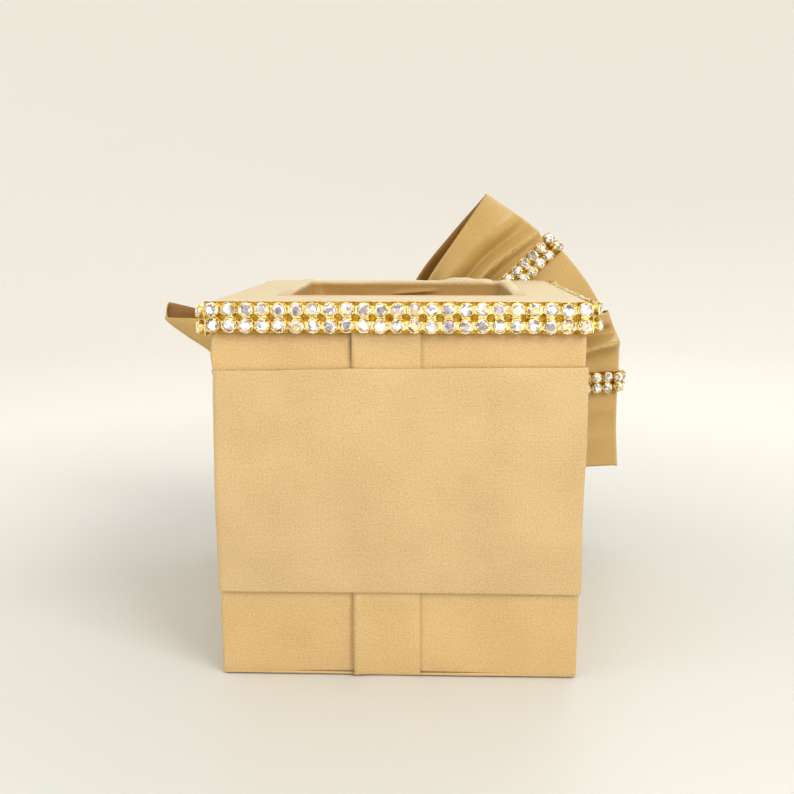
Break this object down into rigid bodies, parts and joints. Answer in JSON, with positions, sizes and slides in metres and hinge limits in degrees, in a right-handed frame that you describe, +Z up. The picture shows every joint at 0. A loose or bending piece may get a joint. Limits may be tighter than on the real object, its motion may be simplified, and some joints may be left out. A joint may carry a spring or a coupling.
{
  "type": "wedding card box",
  "caption": "Square satin-covered card box with a lift-off lid, a ribbon-bound opening in its top, rhinestone trim round the lid and a layered ribbon bow on one side.",
  "frame": {"origin": "centre of the underside of the box, where it rests", "axes": "+Z up; the plain face looks along -Y and the bow is on the +Y face; +X to the right when facing the plain face"},
  "size_m": [0.2227, 0.1745, 0.1653],
  "materials": {
    "cover_satin": "champagne-gold satin cloth, soft sheen, fine weave",
    "box_ribbon": "double-faced satin ribbon in the same champagne gold",
    "opening_satin": "pale satin binding and lining round the opening",
    "bow_ribbon": "satin ribbon, pleated near the knot",
    "felt": "satin-covered felt pad",
    "chipboard": "grey rigid box board",
    "neck_board": "rigid board covered in cream paper",
    "gold_settings": "bright gold-plated cup settings",
    "clear_stones": "clear faceted rhinestones with a foiled back"
  },
  "bodies": {
    "box": {"base_board": "chipboard", "base_satin": "cover_satin", "bow_knot": "bow_ribbon", "bow_loop_left": "bow_ribbon", "bow_loop_lower_left": "bow_ribbon", "bow_loop_right": "bow_ribbon", "bow_loop_upper_right": "bow_ribbon", "bow_pad": "felt", "bow_settings_left": "gold_settings", "bow_settings_lower_left": "gold_settings", "bow_settings_right": "gold_settings", "bow_settings_upper_right": "gold_settings", "bow_stones_left": "clear_stones", "bow_stones_lower_left": "clear_stones", "bow_stones_right": "clear_stones", "bow_stones_upper_right": "clear_stones", "knot_settings": "gold_settings", "knot_stones": "clear_stones", "neck_back": "neck_board", "neck_front": "neck_board", "neck_left": "neck_board", "neck_right": "neck_board", "side_satin": "cover_satin", "vertical_ribbon": "box_ribbon", "wall_back": "chipboard", "wall_front": "chipboard", "wall_left": "chipboard", "wall_right": "chipboard", "wide_ribbon_band": "box_ribbon"},
    "lid": {"lid_board": "chipboard", "lid_satin": "cover_satin", "lid_skirt_back": "chipboard", "lid_skirt_front": "chipboard", "lid_skirt_left": "chipboard", "lid_skirt_right": "chipboard", "opening_lining": "opening_satin", "opening_rim": "opening_satin", "trim_settings_back": "gold_settings", "trim_settings_front": "gold_settings", "trim_settings_left": "gold_settings", "trim_settings_right": "gold_settings", "trim_stones_back": "clear_stones", "trim_stones_front": "clear_stones", "trim_stones_left": "clear_stones", "trim_stones_right": "clear_stones"}
  },
  "joints": [
    {"name": "lid_lift", "type": "slide", "parent": "box", "child": "lid", "axis": [0, 0, 1], "range_m": [0, 0.06]}
  ]
}
